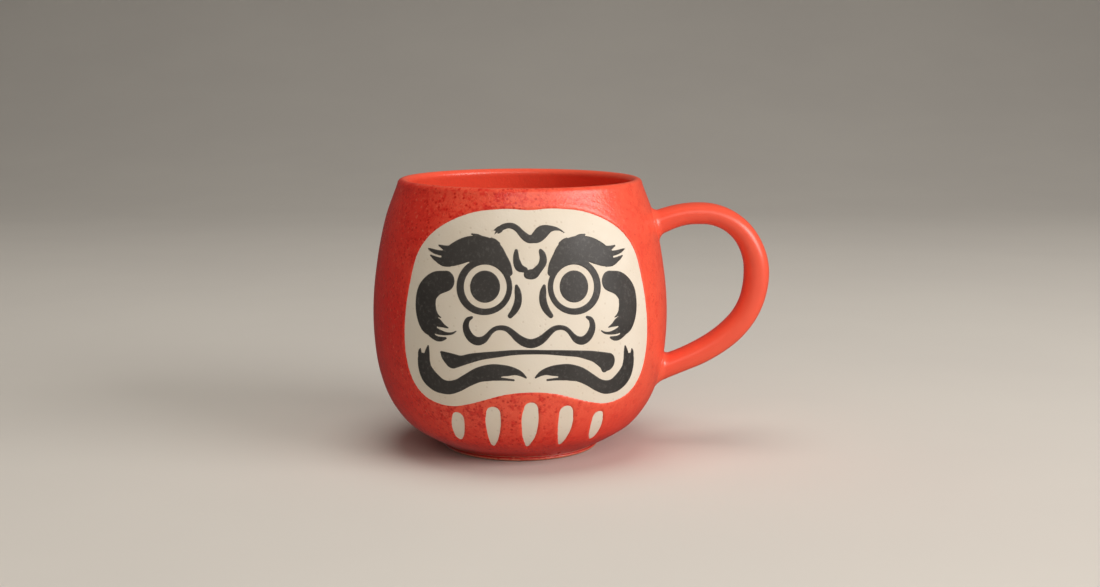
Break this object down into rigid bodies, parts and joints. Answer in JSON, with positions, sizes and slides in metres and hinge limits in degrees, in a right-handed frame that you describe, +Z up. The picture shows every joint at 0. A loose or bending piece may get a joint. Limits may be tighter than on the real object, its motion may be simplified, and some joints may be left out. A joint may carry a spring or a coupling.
{
  "type": "daruma face mug",
  "caption": "Round-bellied stoneware mug with a side handle, a red glaze coat and a painted daruma face in a cream window.",
  "frame": {"origin": "middle of the whole mug's bounding box in x and y, at the height of the foot ring's flat bottom; the mug's own axis stands at x = -0.0167 m", "axes": "+Z up along the mug's axis, +X out through the handle, -Y is the side the painted face looks to (the face is turned 4.9 degrees from -Y towards the handle)"},
  "size_m": [0.1294, 0.0963, 0.088],
  "materials": {
    "clay": "unglazed sandy stoneware, matt, seen on the foot ring",
    "red_glaze": "satin red glaze with fine pits and darker red specks",
    "red_liner": "smooth red glaze",
    "cream_slip": "matt cream slip",
    "black_underglaze": "matt charcoal brush paint"
  },
  "bodies": {
    "root": {"clay_body": "clay", "outer_glaze": "red_glaze", "liner_glaze": "red_liner", "handle": "red_glaze", "face_panel": "cream_slip", "fringe_drop_1": "cream_slip", "fringe_drop_2": "cream_slip", "fringe_drop_3": "cream_slip", "fringe_drop_4": "cream_slip", "fringe_drop_5": "cream_slip", "left_brow_and_eye_ring": "black_underglaze", "right_brow_and_eye_ring": "black_underglaze", "left_pupil": "black_underglaze", "right_pupil": "black_underglaze", "left_cheek_whisker": "black_underglaze", "right_cheek_whisker": "black_underglaze", "left_nose_stroke": "black_underglaze", "right_nose_stroke": "black_underglaze", "left_beard_stroke": "black_underglaze", "right_beard_stroke": "black_underglaze", "forehead_wrinkle": "black_underglaze", "brow_mark": "black_underglaze", "nose_and_lip_line": "black_underglaze", "mouth_line": "black_underglaze"}
  },
  "joints": []
}
